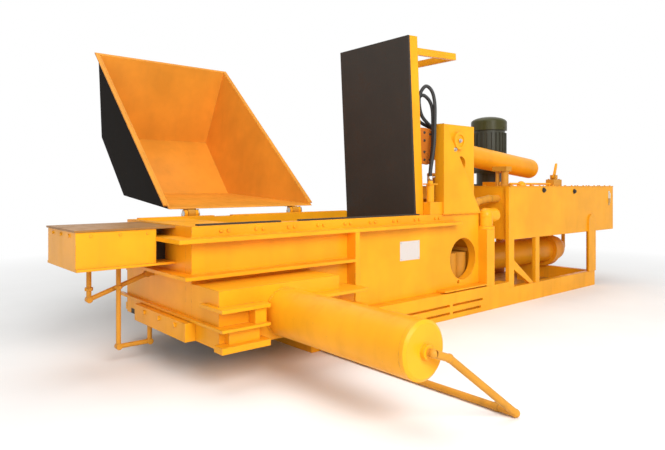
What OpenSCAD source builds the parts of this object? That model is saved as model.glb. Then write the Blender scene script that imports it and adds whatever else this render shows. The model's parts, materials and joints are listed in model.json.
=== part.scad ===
// Triple action scrap metal baling press with folding lid, tipping feed hopper and power pack.
// Millimetres, +Z up. X runs towards the power pack, -Y towards the side ram, +Y towards the hopper.

/* [Press box] */
// Clear width between the two side walls
box_w = 1140; // [1060:10:1200]
// Thickness of each side wall
wall_t = 100; // [80:5:110]
// Height of the wall tops above the ground
wall_top = 1180; // [1160:10:1280]
// Length from the end wall to the face of the resting main ram
box_l = 2700; // [2600:10:2900]
// Height of the pressing chamber
chamber_h = 356; // [330:2:370]
// Length of the roofed end of the chamber
cover_l = 520; // [480:10:560]
// Width of the ring flanges round the box
flange_w = 120; // [90:5:130]

/* [Lid] */
// Thickness of the lid with its wear plate
lid_t = 153; // [140:1:170]
// Angle the lid swings from open to closed
lid_swing = 86.8; // [84:0.1:90]
// Distance of the cylinder pin from the hinge, along the lid
lever_s = 1205; // [1150:5:1260]
// Distance of the cylinder pin behind the lid
lever_off = 172; // [165:1:190]
// Radius of the lid cylinder barrel
lid_barrel_r = 150; // [130:1:160]

/* [Rams] */
// Length of the main ram
ram_l = 900; // [800:10:920]
// Outer radius of the main cylinder
main_r = 200; // [185:1:215]
// Length of the main cylinder barrel
main_l = 2560; // [2400:10:2700]
// Outer radius of the side cylinder
side_r = 190; // [180:1:200]
// Length of the side cylinder barrel
side_l = 1400; // [1350:10:1500]
// Width of the bale chamber in front of the side ram
bale_w = 1070; // [1000:10:1100]

/* [Hopper] */
// Width of the hopper mouth
hopper_w = 1850; // [1700:10:1900]
// Reach of the hopper from its lip to its back fold
hopper_reach = 2420; // [2300:10:2500]
// Height of the hopper mouth above its lip
hopper_h = 1960; // [1800:10:2100]
// Sheet thickness of the hopper
hopper_t = 16; // [12:1:20]

/* [Power pack] */
// Length of the oil tank
tank_l = 2940; // [2700:10:3000]
// Height of the oil tank
tank_h = 670; // [600:10:700]
// Height of the tank underside above the ground
tank_z = 820; // [800:10:860]
// Radius of the motor
motor_r = 280; // [260:2:290]
// Height of the motor with its cowl
motor_h = 860; // [800:10:900]

/* [Hidden] */
$fn = 48;
// Fits
run = 0.05;
gap = 10;
// Press box
hw = box_w / 2;
ow = hw + wall_t;
fw = ow + flange_w;
base_h = 294;
floor_t = 48;
floor_z = base_h + floor_t;
roof_z = floor_z + chamber_h;
ram_x = 1050;
x_in = ram_x - box_l;
end_t = 60;
x_out = x_in - end_t;
cover_x = x_in + cover_l;
ram_back = ram_x + ram_l;
body_x = ram_x + 1050;
end_plate_t = 160;
axis_z = 485;
fl_t = 35;
fl_z = wall_top - 125;
end_plate_z = fl_z - 80;
mid_t = 30;
mid_z = roof_z + 72;
rib_t = 60;
bale_x0 = x_in + 5;
bale_x1 = x_in + bale_w;
ram_clear = 5;
// Lid
lean = 90 - lid_swing;
hinge_x = ram_x + 170;
hinge_z = roof_z + lid_t;
lid_l = hinge_x - cover_x - 2 * gap;
lid_hw = hw - 5;
wear_t = 25;
shell_t = lid_t - wear_t;
shaft_r = 70;
lever_t = 60;
lever_gap = 90;
eye_hw = 80;
eye_r = 110;
pin_x = hinge_x + lever_off * cos(lean) - lever_s * sin(lean);
pin_z = hinge_z + lever_off * sin(lean) + lever_s * cos(lean);
// Lid cylinder
trun_x = 1680;
trun_z = 2030;
trun_r = 70;
lid_rod_r = 70;
lid_bore_r = lid_barrel_r - 32;
pin_d = sqrt(pow(trun_x - pin_x, 2) + pow(pin_z - trun_z, 2));
lid_tilt = atan2(pin_z - trun_z, trun_x - pin_x);
lid_front = pin_d - eye_r - 70;
lid_back = 2710;
lid_rod_l = 2250;
up_x0 = 1395;
up_x1 = 2005;
up_z = trun_z + 185;
// Hoses of the lid cylinder
hose_r = 20;
hose_z0 = wall_top + 380;
hose_z1 = trun_z + 30;
hose_a = [[1225, -645, hose_z0], [1225, -645, hose_z0 + 110], [1290, -640, 1950], [1330, -620, 2200],
  [1365, -590, 2450], [1365, -545, 2600], [1305, -500, 2650], [1235, -470, 2520], [1275, -470, 2320],
  [1400, -505, 2190], [1440, -535, hose_z1 + 70], [1440, -535, hose_z1]];
hose_b = [[1275, -600, hose_z0], [1275, -600, hose_z0 + 110], [1320, -595, 1950], [1345, -580, 2200],
  [1365, -550, 2400], [1355, -500, 2510], [1295, -450, 2550], [1230, -415, 2430], [1275, -415, 2270],
  [1440, -470, 2180], [1510, -535, hose_z1 + 70], [1510, -535, hose_z1]];
// Hopper
hop_xc = -350;
hop_y = ow + 30;
hop_z = wall_top + 35;
hop_pin_r = 30;
lip = [ow + 10, hop_z + 48];
mouth = [lip[0] + 2130, lip[1] + hopper_h];
fold1 = [lip[0] + hopper_reach, lip[1] + 900];
fold2 = [lip[0] + 1700, lip[1] + 120];
half_m = hopper_w / 2;
half_1 = half_m - 140;
half_2 = half_m - 170;
mouth_a = atan2(mouth[1] - lip[1], mouth[0] - lip[0]);
mouth_l = sqrt(pow(mouth[0] - lip[0], 2) + pow(mouth[1] - lip[1], 2));
floor_a = atan2(fold2[1] - lip[1], fold2[0] - lip[0]);
rim_w = 40;
hop_pin_x = [hop_xc - 685, hop_xc + 665];
// Hopper cylinder
hc_x = -440;
hc_y = 930;
hc_z = 380;
hc_s = 1330;
hc_drop = 60;
hc_lug_y = lip[0] + hc_s * cos(floor_a) + hc_drop * sin(floor_a);
hc_lug_z = lip[1] + hc_s * sin(floor_a) - hc_drop * cos(floor_a);
hc_a = atan2(hc_lug_z - hc_z, hc_lug_y - hc_y);
hc_d = sqrt(pow(hc_lug_y - hc_y, 2) + pow(hc_lug_z - hc_z, 2));
hc_r = 70;
hc_bore = 55;
hc_rod_r = 35;
hc_eye = 44;
hc_front = hc_d - hc_eye - 45;
// Side ram
side_x = (bale_x0 + bale_x1) / 2;
side_y = 1220;
side_fy = side_y - 120;
side_z = axis_z + 12;
side_ram_l = 480;
side_rod_r = 90;
side_bore = side_r - 45;
// Lid lock
lock_x0 = x_out - 782;
lock_hw = 370;
lock_z0 = hinge_z + 3 * gap;
lock_z1 = wall_top - 25;
lock_t = 20;
bolt_hw = 180;
bolt_h = 150;
lock_r = 95;
lock_rod_r = 40;
lock_c = lock_z0 + bolt_h / 2 + 2;
// Main cylinder
main_x = body_x + end_plate_t;
main_bore = main_r - 40;
main_rod_r = 100;
main_back = main_x + main_l;
// Gate
gate_t = 80;
gate_x0 = x_in - 30;
gate_x1 = bale_x1 + 40;
gate_z0 = floor_z - 20;
gate_z1 = roof_z + 20;
gate_y = ow + 2;
rail_h = 45;
blade_x = bale_x1 - 20;
blade_gap = 220;
gate_stroke = 1100;
rail_x1 = gate_x1 + gate_stroke + 60;
gc_y = gate_y + gate_t / 2 + 45;
gc_r = 62;
gc_x0 = gate_x1 + gate_stroke + 90;
gc_end = 130;
gc_x1 = body_x - gc_end;
// Base and power pack
base_x0 = bale_x1 - 20;
pack_x = 2610;
base_x1 = pack_x + tank_l - 640;
ch_h = 220;
tank_x1 = pack_x + tank_l;
tank_y = 785;
tank_t = 12;
top_z = tank_z + tank_h;
post = 120;
post_t = 50;
motor_x = pack_x + 1370;
motor_y = 460;
bell_h = 230;
motor_z = top_z + tank_t + bell_h;
cowl_h = 220;
lever_x = pack_x + 1240;
lever_y = -700;

yellow = [0.98, 0.72, 0.18];
orange = [0.85, 0.5, 0.15];
dark = [0.22, 0.2, 0.18];
steel = [0.7, 0.7, 0.7];
olive = [0.2, 0.21, 0.15];

module bx(x0, x1, y0, y1, z0, z1) {
  translate([x0, y0, z0]) cube([x1 - x0, y1 - y0, z1 - z0]);
}

module cx(x0, x1, y, z, r) {
  translate([x0, y, z]) rotate([0, 90, 0]) cylinder(r = r, h = x1 - x0);
}

module cy(x, y0, y1, z, r) {
  translate([x, y0, z]) rotate([-90, 0, 0]) cylinder(r = r, h = y1 - y0);
}

module cz(x, y, z0, z1, r) {
  translate([x, y, z0]) cylinder(r = r, h = z1 - z0);
}

// Straight pipe between two points
module pipe(a, b, r) {
  d = b - a;
  l = norm(d);
  translate(a) rotate([0, acos(d[2] / l), atan2(d[1], d[0])]) cylinder(r = r, h = l);
}

module hex_x(x, y, z, r, h) {
  translate([x - h, y, z]) rotate([0, 90, 0]) cylinder(r = r, h = h, $fn = 6);
}

module hex_y(x, y, z, r, h) {
  translate([x, y, z]) rotate([90, 0, 0]) cylinder(r = r, h = h, $fn = 6);
}

module on_lid() {
  translate([hinge_x, 0, hinge_z]) rotate([0, -lean, 0]) children();
}

// Local +X of the lid cylinder runs from the trunnion towards the rod eye
module on_lid_cylinder() {
  translate([trun_x, 0, trun_z]) rotate([0, -lid_tilt, 180]) children();
}

module on_hopper_cylinder() {
  translate([0, hc_y, hc_z]) rotate([hc_a, 0, 0]) children();
}

module on_mouth() {
  translate([hop_xc, lip[0], lip[1]]) rotate([mouth_a, 0, 0]) children();
}

module on_hopper_floor() {
  translate([0, lip[0], lip[1]]) rotate([floor_a, 0, 0]) children();
}

// Domed end, base at z = 0
module dome(r, h) {
  rotate_extrude() polygon(concat([[0, 0]], [for (a = [0 : 10 : 90]) [r * cos(a), h * sin(a)]]));
}

// Round hose swept along a route of points
function bend(a, b, c, d, t) = 0.5 * (2 * b + (c - a) * t + (2 * a - 5 * b + 4 * c - d) * t * t
  + (3 * b - a - 3 * c + d) * t * t * t);

function slope(a, b, c, d, t) = 0.5 * ((c - a) + 2 * (2 * a - 5 * b + 4 * c - d) * t
  + 3 * (3 * b - a - 3 * c + d) * t * t);

function at(p, i) = p[min(max(i, 0), len(p) - 1)];

function unit(v) = v / norm(v);

module hose(p, r, steps, sides) {
  m = len(p) - 1;
  n = m * steps;
  rings = [for (k = [0 : n]) let (
    i = min(floor(k / steps), m - 1),
    t = k / steps - i,
    c = bend(at(p, i - 1), at(p, i), at(p, i + 1), at(p, i + 2), t),
    d = unit(slope(at(p, i - 1), at(p, i), at(p, i + 1), at(p, i + 2), t)),
    u = unit(cross(d, [0, 1, 0])),
    v = cross(d, u))
    for (j = [0 : sides - 1]) c + r * (cos(j * 360 / sides) * u + sin(j * 360 / sides) * v)];
  walls = [for (k = [0 : n - 1]) for (j = [0 : sides - 1]) for (h = [0, 1]) let (
    a = k * sides + j,
    b = k * sides + (j + 1) % sides)
    h == 0 ? [a, b + sides, b] : [a, a + sides, b + sides]];
  caps = [[for (j = [0 : sides - 1]) j], [for (j = [sides - 1 : -1 : 0]) n * sides + j]];
  polyhedron(points = rings, faces = concat(walls, caps));
}

module base_side(s) {
  mirror([0, s < 0 ? 1 : 0, 0]) {
    difference() {
      union() {
        bx(base_x0, pack_x - 40, fw - 150, fw, 0, base_h);
        bx(1300, body_x, ow, fw, base_h, base_h + 28);
      }
      bx(1299, body_x + 1, fw - 60, fw + 1, base_h - 4, base_h + 12);
      bx(620, 2015, fw - 45, fw + 1, 140, 165);
      bx(980, 1980, fw - 45, fw + 1, 55, 80);
    }
    bx(1390, 1440, fw - 45, fw, 50, 170);
    bx(pack_x - 40, base_x1, fw - 18, fw, 0, ch_h);
    bx(pack_x - 40, base_x1, fw - 80, fw, 0, 20);
    bx(pack_x - 40, base_x1, fw - 80, fw, ch_h - 20, ch_h);
  }
}

module base_frame() {
  saddle_x = main_back - 520;
  color(yellow) {
    base_side(-1);
    base_side(1);
    for (x = [base_x0, -60, 735, 1490]) bx(x, x + 120, -fw + 150, fw - 150, 0, base_h);
    bx(pack_x - 160, pack_x - 40, -fw + 150, fw - 150, 0, axis_z - main_r - 15);
    bx(base_x1 - 80, base_x1, -fw + 80, fw - 80, 0, ch_h);
    difference() {
      bx(saddle_x, saddle_x + 120, -160, 160, 32, axis_z - 60);
      cx(saddle_x - 10, saddle_x + 130, 0, axis_z, main_r);
    }
  }
}

module base_tray() {
  color(orange) bx(pack_x - 40, base_x1 - 80, -fw + 18, fw - 18, 20, 32);
}

module box_floor() {
  color(dark) bx(x_out, body_x, -hw, hw, base_h, floor_z);
}

module side_wall() {
  difference() {
    bx(x_out, body_x, hw, ow, base_h, wall_top);
    bx(x_in, bale_x1, hw - 1, ow + 1, floor_z, roof_z - 8);
    cy(hinge_x, hw - 1, hw + 62, hinge_z, shaft_r + run);
  }
}

module near_wall() {
  color(yellow) difference() {
    mirror([0, 1, 0]) side_wall();
    cy(1790, -ow - 1, -hw + 1, 640, 245);
    cy(1700, -ow - 1, -hw + 1, 372, 22);
  }
}

module far_wall() {
  color(yellow) side_wall();
}

module end_wall() {
  color(yellow) difference() {
    bx(x_out, x_in, -hw, hw, floor_z, wall_top);
    bx(x_out - 1, x_in + 1, -bolt_hw - 3, bolt_hw + 3, lock_z0 - 2, lock_z0 + bolt_h + 6);
  }
}

module ram_roof() {
  x0 = hinge_x + 150;
  color(orange) {
    bx(x0, body_x, -300, 300, roof_z, roof_z + 40);
    for (x = [x0, body_x - 60]) bx(x, x + 60, -hw, hw, roof_z + 1, roof_z + 39);
    for (y = [-240, 0, 240]) bx(x0 + 50, body_x, y - 20, y + 20, roof_z + 39, roof_z + 200);
  }
}

module chamber_cover() {
  color(yellow) difference() {
    bx(x_in, cover_x, -hw, hw, roof_z, wall_top - gap);
    bx(x_in - 1, cover_x + 1, -bolt_hw - 3, bolt_hw + 3, lock_z0 - 2, lock_z0 + bolt_h + 6);
  }
}

// Plate ring round both sides and the closed end of the box
module ring(z, t, x1, lip_x) {
  for (s = [0, 1]) mirror([0, s, 0]) bx(x_out - lip_x, x1, ow, fw, z, z + t);
  bx(x_out - lip_x, x_out, -ow, ow, z, z + t);
}

module upper_ring() {
  color(yellow) ring(fl_z, fl_t, up_x0 + 230, 160);
}

module mid_ring() {
  color(yellow) {
    ring(mid_z, mid_t, 0, 110);
    bx(-rib_t, 0, -fw, -ow, base_h, mid_z);
    for (s = [0, 1]) mirror([0, s, 0]) bx(-rib_t, 0, ow, fw, mid_z + mid_t, fl_z);
  }
}

module shear_blades() {
  color(dark) for (s = [0, 1]) mirror([0, s, 0]) {
    bx(cover_x - 500, blade_x - blade_gap, hw + 5, hw + 65, wall_top, wall_top + 12);
    bx(blade_x, ram_x, hw + 5, hw + 65, wall_top, wall_top + 12);
  }
}

module blade_bolts() {
  color(dark) for (i = [0 : 8]) for (k = [0, 70]) {
    x = cover_x - 320 + i * 340 + k;
    translate([x, -ow, wall_top - 45]) rotate([90, 0, 0]) cylinder(r = 16, h = 12, $fn = 6);
  }
}

module body_end_plate() {
  ex = body_x + 114;
  ey = -fw + 100;
  ez = end_plate_z + 165;
  color(yellow) {
    difference() {
      union() {
        bx(body_x, main_x, -fw, fw, base_h, end_plate_z);
        bx(body_x, body_x + 100, -hw, hw, end_plate_z, wall_top);
      }
      cx(body_x - 1, main_x + 1, 0, axis_z, main_rod_r + run);
    }
    cz(ex, ey, end_plate_z, end_plate_z + 35, 110);
    cz(ex, ey, end_plate_z + 35, ez, 88);
    translate([ex, ey, ez]) sphere(r = 92);
    cx(ex, ex + 175, ey, ez, 88);
    translate([ex + 175, ey, ez]) rotate([0, 90, 0]) dome(88, 60);
  }
}

module end_beam() {
  color(yellow) {
    bx(x_out - 90, x_out, -fw + 50, 260, base_h + 1, 440);
    bx(x_out - 40, x_out, -ow, fw, 445, 468);
    bx(x_out - 30, x_out, -fw + 60, 250, 440, 445);
    for (y = [-560, -260, 40]) hex_x(x_out - 90, y, 400, 20, 14);
  }
}

module side_housing() {
  y0 = -side_y;
  y1 = -side_fy;
  xr = bale_x1 + 40;
  xa = side_x - side_r - 30;
  xb = side_x + side_r + 30;
  color(yellow) difference() {
    union() {
      bx(x_out, x_in, y1, -ow, floor_z, roof_z + 32);
      bx(bale_x1, xr, y1, -ow, floor_z, roof_z + 32);
      bx(x_in, bale_x1, y1, -ow, roof_z - 8, roof_z + 32);
      bx(x_out, xr + 230, y1, -ow, base_h, floor_z);
      bx(x_in, bale_x1, y1, y1 + 40, floor_z, roof_z - 8);
      for (z = [[base_h, floor_z], [445, 468], [584, 612]]) {
        bx(x_out - 40, xa, y0, y1, z[0], z[1]);
        bx(xb, xr + 230, y0, y1, z[0], z[1]);
      }
      bx(x_out - 40, x_out, y1, -ow, 445, 468);
      bx(x_out - 40, x_out, y1, -880, 584, 612);
      bx(xr, xr + 230, y1, -880, 584, 612);
      bx(xr, xr + 230, y1, -ow - 150, 445, 468);
      bx(xa - 120, xa - 20, y0 + 30, y1, 467, 585);
      bx(x_out + 50, xa - 60, y0 + 60, y1, floor_z - 1, 446);
      bx(xb + 30, xr + 150, y0 + 60, y1, floor_z - 1, 446);
      for (y = [y1 + 40, -900]) bx(xr, xr + 210, y, y + 25, floor_z, 585);
    }
    cy(side_x, y1 - 1, y1 + 41, side_z, side_rod_r + run);
  }
}

module side_barrel() {
  y1 = -side_fy;
  color(yellow) difference() {
    cy(side_x, y1 - side_l, y1, side_z, side_r);
    cy(side_x, y1 - side_l - 1, y1 + 1, side_z, side_bore);
  }
}

module side_end_cap() {
  y = -side_fy - side_l;
  color(yellow) {
    cy(side_x, y - 30, y, side_z, side_r);
    translate([side_x, y - 30, side_z]) rotate([90, 0, 0]) cylinder(r1 = side_r, r2 = side_r - 22, h = 15);
    cy(side_x, y - 75, y - 45, side_z, 48);
  }
}

module side_pipe() {
  r = 25;
  yc = -side_fy - side_l - 75;
  px = bale_x1 + 90;
  pts = [[px, -fw, 30], [px, yc - 200, 30], [side_x + 118, yc - 60, side_z - 45],
    [side_x, yc - 35, side_z], [side_x, yc, side_z]];
  color(orange) {
    for (i = [0 : 3]) pipe(pts[i], pts[i + 1], r);
    for (i = [1 : 3]) translate(pts[i]) sphere(r = r + 4);
    pipe([px, yc - 80, 30], [px, yc - 40, 30], 29);
  }
}

module side_ram() {
  color(dark) bx(bale_x0, bale_x1 - gap, -hw - side_ram_l, -hw, floor_z + 1, roof_z - 13);
}

module side_rod() {
  y0 = -side_fy - side_l + 20;
  color(steel) {
    cy(side_x, y0 + 70, -hw - side_ram_l, side_z, side_rod_r);
    cy(side_x, y0, y0 + 70, side_z, side_bore - run);
  }
}

module lock_housing() {
  x1 = x_out - 160;
  color(yellow) {
    bx(lock_x0, x_out, -lock_hw - 20, lock_hw + 20, lock_z0 - 2 - lock_t, lock_z0 - 2);
    for (s = [0, 1]) mirror([0, s, 0]) {
      bx(lock_x0, x1, lock_hw - lock_t, lock_hw, lock_z0 - 2, lock_z1);
      for (x = [110, 330, 550]) mirror([0, 1, 0]) hex_y(lock_x0 + x, -lock_hw, lock_z1 - 32, 12, 8);
    }
    bx(lock_x0, lock_x0 + lock_t, -lock_hw + lock_t, lock_hw - lock_t, lock_z0 - 2, lock_z1);
    for (y = [-220, 0, 220]) hex_x(lock_x0, y, lock_z1 - 32, 14, 10);
  }
}

module lock_cover() {
  color(orange) bx(lock_x0 - 12, x_out, -lock_hw - 12, lock_hw + 12, lock_z1, lock_z1 + 15);
}

module lock_cylinder() {
  x0 = lock_x0 + lock_t;
  color(yellow) difference() {
    union() {
      cx(x0, x0 + 432, 0, lock_c, lock_r - 22);
      bx(x0, x0 + 60, -110, 110, lock_z0 - 2, lock_c + 70);
      bx(x0 + 372, x0 + 432, -110, 110, lock_z0 - 2, lock_c + 70);
    }
    cx(x0 + 20, x0 + 412, 0, lock_c, lock_r - 40);
    cx(x0 + 400, x0 + 440, 0, lock_c, lock_rod_r + run);
  }
}

module lock_bolt() {
  x0 = lock_x0 + lock_t;
  color(dark) bx(cover_x - 805, cover_x - 5, -bolt_hw, bolt_hw, lock_z0, lock_z0 + bolt_h);
  color(steel) {
    cx(x0 + 62, cover_x - 805, 0, lock_c, lock_rod_r);
    cx(x0 + 22, x0 + 62, 0, lock_c, lock_r - 40 - run);
  }
}

module lock_pipes() {
  r = 20;
  zb = lock_z0 - 2 - lock_t;
  xa = lock_x0 + 231;
  xb = lock_x0 + 452;
  xe = x_out - 60;
  ya = 60;
  a = [[xa, ya, zb], [xa, ya, 566], [x_out - 60, ya, 730], [x_out, ya, 730]];
  b = [[xb, 0, zb], [xb, 0, 154], [xe, 0, 154], [xe, 0, base_h + 1]];
  color(orange) {
    for (q = [a, b]) for (i = [0 : 2]) pipe(q[i], q[i + 1], r);
    for (p = [a[1], a[2], b[1], b[2]]) cy(p[0], p[1] - r - 6, p[1] + r + 6, p[2], r + 6);
    for (p = [a[0], b[0]]) {
      translate([p[0], p[1], 640]) cylinder(r = 34, h = 26, $fn = 6);
      translate([p[0], p[1], zb - 30]) cylinder(r = 34, h = 30, $fn = 6);
    }
  }
}

module lid_shell() {
  bays = 5;
  bay = (lid_l - 360) / bays;
  color(yellow) on_lid() difference() {
    bx(-shell_t, 0, -lid_hw, lid_hw, 0, lid_l);
    for (i = [0 : bays - 1]) for (s = [0, 1]) mirror([0, s, 0])
      bx(-shell_t + 45, 1, 190, lid_hw - 40, 220 + i * bay, 180 + (i + 1) * bay);
    cy(0, -lid_hw - 1, lid_hw + 1, 0, shaft_r + 15);
  }
}

module lid_wear_plate() {
  color(dark) on_lid() bx(-lid_t, -shell_t, -lid_hw, lid_hw, 0, lid_l);
}

module lid_shaft() {
  color(steel) on_lid() {
    cy(0, -hw - 60, hw + 60, 0, shaft_r);
    cy(0, -lid_hw, lid_hw, 0, shaft_r + 15);
  }
}

module lid_levers() {
  color(orange) on_lid() for (s = [0, 1]) mirror([0, s, 0]) {
    hull() {
      bx(0, 20, lever_gap, lever_gap + lever_t, lever_s - 330, lever_s + 210);
      cy(lever_off, lever_gap, lever_gap + lever_t, lever_s, 85);
    }
    bx(0, 16, lever_gap + lever_t, lever_gap + lever_t + 35, lever_s - 330, lever_s + 210);
  }
  color(steel) on_lid() for (s = [0, 1]) mirror([0, s, 0]) {
    cy(lever_off, lever_gap + lever_t, lever_gap + lever_t + 22, lever_s, 62);
  }
}

module lid_hoop() {
  color(yellow) on_lid() {
    for (s = [0, 1]) mirror([0, s, 0]) bx(0, 720, lid_hw - 60, lid_hw - 20, lid_l - 200, lid_l - 120);
    bx(680, 720, -lid_hw + 60, lid_hw - 60, lid_l - 200, lid_l - 120);
  }
}

module uprights() {
  layer = [[up_x0, wall_top], [body_x, wall_top], [trun_x - 50, trun_z - 100], [up_x0, up_z]];
  pot_z = wall_top + 140;
  color(yellow) for (s = [0, 1]) mirror([0, s, 0]) {
    difference() {
      union() {
        difference() {
          bx(up_x0, up_x1, hw, ow, wall_top, up_z);
          cy(trun_x + 75, hw - 1, ow + 1, trun_z - 260, 80);
        }
        translate([0, ow + 30, 0]) rotate([90, 0, 0]) linear_extrude(31) polygon(layer);
        cy(trun_x, ow - 1, ow + 45, trun_z, 105);
      }
      cy(trun_x, hw - 1, ow + 46, trun_z, trun_r + run);
    }
    bx(1190, up_x0, hw, ow, wall_top, pot_z);
  }
  color(yellow) {
    bx(up_x1 - 90, up_x1, -hw, hw, wall_top, wall_top + 160);
    bx(up_x0 + 5, up_x0 + 155, -hw, -hw + 70, trun_z - 70, trun_z);
  }
  color(orange) {
    cz(1250, -620, pot_z, pot_z + 195, 45);
    bx(1185, 1315, -675, -567, pot_z + 195, pot_z + 210);
  }
  color(steel) for (p = [hose_a, hose_b]) {
    e = p[len(p) - 1];
    cz(p[0][0], p[0][1], pot_z + 210, hose_z0, hose_r + 8);
    cz(e[0], e[1], trun_z, hose_z1, hose_r + 8);
  }
}

module lid_barrel() {
  color(yellow) on_lid_cylinder() difference() {
    union() {
      cx(-lid_back, lid_front - 60, 0, 0, lid_barrel_r);
      translate([-lid_back, 0, 0]) rotate([0, -90, 0]) dome(lid_barrel_r, 110);
      cx(lid_front - 60, lid_front, 0, 0, lid_barrel_r - 8);
      cx(-110, 110, 0, 0, lid_barrel_r + 30);
      cy(0, -ow - 30, ow + 30, 0, trun_r);
    }
    cx(-lid_back + 60, lid_front - 60, 0, 0, lid_bore_r);
    cx(lid_front - 70, lid_front + 1, 0, 0, lid_rod_r + run);
  }
}

module lid_rod() {
  color(steel) on_lid_cylinder() difference() {
    union() {
      cx(pin_d - lid_rod_l + 90, pin_d - 60, 0, 0, lid_rod_r);
      cx(pin_d - lid_rod_l, pin_d - lid_rod_l + 90, 0, 0, lid_bore_r - run);
      cy(pin_d, -eye_hw, eye_hw, 0, eye_r);
    }
    cy(pin_d, -eye_hw - 1, eye_hw + 1, 0, 50);
  }
}

module main_barrel() {
  color(yellow) difference() {
    union() {
      cx(main_x, main_back, 0, axis_z, main_r);
      cx(main_x, main_x + 60, 0, axis_z, main_r + 65);
      cx(main_back - 60, main_back, 0, axis_z, main_r + 62);
    }
    cx(main_x - 1, main_back + 1, 0, axis_z, main_bore);
  }
  color(dark) for (a = [15 : 30 : 345]) {
    translate([main_x + 60, (main_r + 35) * cos(a), axis_z + (main_r + 35) * sin(a)]) rotate([0, 90, 0])
      cylinder(r = 20, h = 18, $fn = 6);
  }
}

module main_end_cap() {
  tip = main_back + 460;
  hook = main_back + 640;
  color(yellow) {
    cx(main_back, main_back + 60, 0, axis_z, main_r + 62);
    cx(main_back + 60, main_back + 260, 0, axis_z, main_r);
    translate([main_back + 260, 0, axis_z]) rotate([0, 90, 0]) dome(main_r, 200);
  }
  color(orange) {
    pipe([tip - 30, 0, axis_z], [hook, 0, axis_z], 30);
    translate([hook, 0, axis_z]) sphere(r = 34);
    pipe([hook, 0, axis_z], [hook, 0, tank_z], 30);
  }
  color(dark) for (a = [0 : 30 : 330]) {
    translate([main_back + 60, (main_r + 33) * cos(a), axis_z + (main_r + 33) * sin(a)]) rotate([0, 90, 0])
      cylinder(r = 20, h = 18, $fn = 6);
  }
}

module main_rod() {
  color(steel) {
    cx(ram_back, main_back - 150, 0, axis_z, main_rod_r);
    cx(main_back - 150, main_back - 50, 0, axis_z, main_bore - run);
  }
}

module main_ram() {
  z0 = floor_z + 1;
  z1 = roof_z - 8;
  xm = ram_x + ram_l / 2;
  color(orange) {
    bx(ram_x, xm, -hw + ram_clear, hw - ram_clear, z0, z1);
    bx(xm, ram_back, -130, 130, z0, z1);
    for (s = [0, 1]) mirror([0, s, 0]) {
      bx(xm, ram_back + 130, 340, 545, z0, z0 + 40);
      for (x = [ram_back - 140, ram_back + 50]) cz(x, 440, z0 + 39, z1, 92);
    }
  }
}

module tank_shell() {
  color(yellow) difference() {
    bx(pack_x, tank_x1, -tank_y, tank_y, tank_z, top_z);
    bx(pack_x + tank_t, tank_x1 - tank_t, -tank_y + tank_t, tank_y - tank_t, tank_z + tank_t, top_z + 1);
  }
}

module tank_cover() {
  z = top_z + tank_t;
  yr = -tank_y + 60;
  color(yellow) {
    bx(pack_x - 4, tank_x1 + 4, -tank_y - 4, tank_y + 4, top_z, z);
    cx(pack_x + 90, pack_x + 1090, yr, z + 28, 14);
    for (x = [pack_x + 120, pack_x + 590, pack_x + 1060]) bx(x - 12, x + 12, yr - 12, yr + 12, z - 1, z + 22);
    translate([pack_x + 355, yr, z - 1]) dome(58, 66);
  }
  color(orange) bx(pack_x + 290, pack_x + 540, -420, -170, z, z + 55);
}

module tank_gauge() {
  color(steel) {
    bx(tank_x1 - 170, tank_x1 - 130, -tank_y - 8, -tank_y, tank_z + 380, tank_z + 603);
    bx(tank_x1 - 163, tank_x1 - 137, -tank_y - 22, -tank_y - 8, tank_z + 410, tank_z + 573);
  }
}

module tank_plugs() {
  color(dark) for (p = [[pack_x + 810, top_z - 44], [pack_x + 1660, top_z - 66]]) {
    cy(p[0], -tank_y - 12, -tank_y, p[1], 34);
    translate([p[0], -tank_y - 12, p[1]]) rotate([90, 0, 0]) cylinder(r = 22, h = 18, $fn = 6);
  }
}

module pack_posts() {
  xm = pack_x + 605;
  xr = base_x1 - 220;
  color(yellow) {
    for (s = [0, 1]) mirror([0, s, 0]) {
      bx(pack_x - 30, pack_x + post - 30, tank_y - post_t, tank_y, ch_h, tank_z);
      bx(pack_x - 30, pack_x, tank_y - post_t, tank_y, tank_z, top_z);
      bx(xm, xm + 100, tank_y - post_t, tank_y, ch_h, tank_z);
      bx(xr + 60, xr + 200, tank_y - post_t, tank_y, ch_h, tank_z);
      bx(xr, base_x1, tank_y, tank_y + 22, ch_h, tank_z + 147);
      cy(xr + 110, tank_y, tank_y + 22, tank_z + 147, 110);
    }
    translate([0, -tank_y + post_t - 5, 0]) rotate([90, 0, 0]) linear_extrude(40)
      polygon([[pack_x + 90, 440], [pack_x + 90, 560], [pack_x + 570, ch_h], [pack_x + 470, ch_h]]);
  }
}

module motor_body() {
  z1 = motor_z + motor_h - cowl_h;
  yb = motor_y + motor_r;
  color(olive) {
    cz(motor_x, motor_y, motor_z, motor_z + 40, motor_r);
    cz(motor_x, motor_y, motor_z + 40, z1, motor_r - 35);
    for (a = [0 : 15 : 345]) translate([motor_x, motor_y, motor_z + 90]) rotate([0, 0, a])
      translate([motor_r - 45, -5, 0]) cube([35, 10, z1 - motor_z - 130]);
    bx(motor_x - 110, motor_x + 110, yb - 60, yb + 60, z1 - 330, z1 - 130);
  }
}

module motor_cowl() {
  z1 = motor_z + motor_h - cowl_h;
  color(olive) translate([motor_x, motor_y, z1]) {
    cylinder(r = motor_r - 4, h = cowl_h - 90);
    translate([0, 0, cowl_h - 90]) dome(motor_r - 4, 90);
  }
}

module bell_housing() {
  color(orange) {
    cz(motor_x, motor_y, top_z + tank_t, top_z + tank_t + 30, motor_r - 20);
    cz(motor_x, motor_y, top_z + tank_t + 30, motor_z - 30, motor_r - 90);
    cz(motor_x, motor_y, motor_z - 30, motor_z, motor_r - 20);
  }
}

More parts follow.
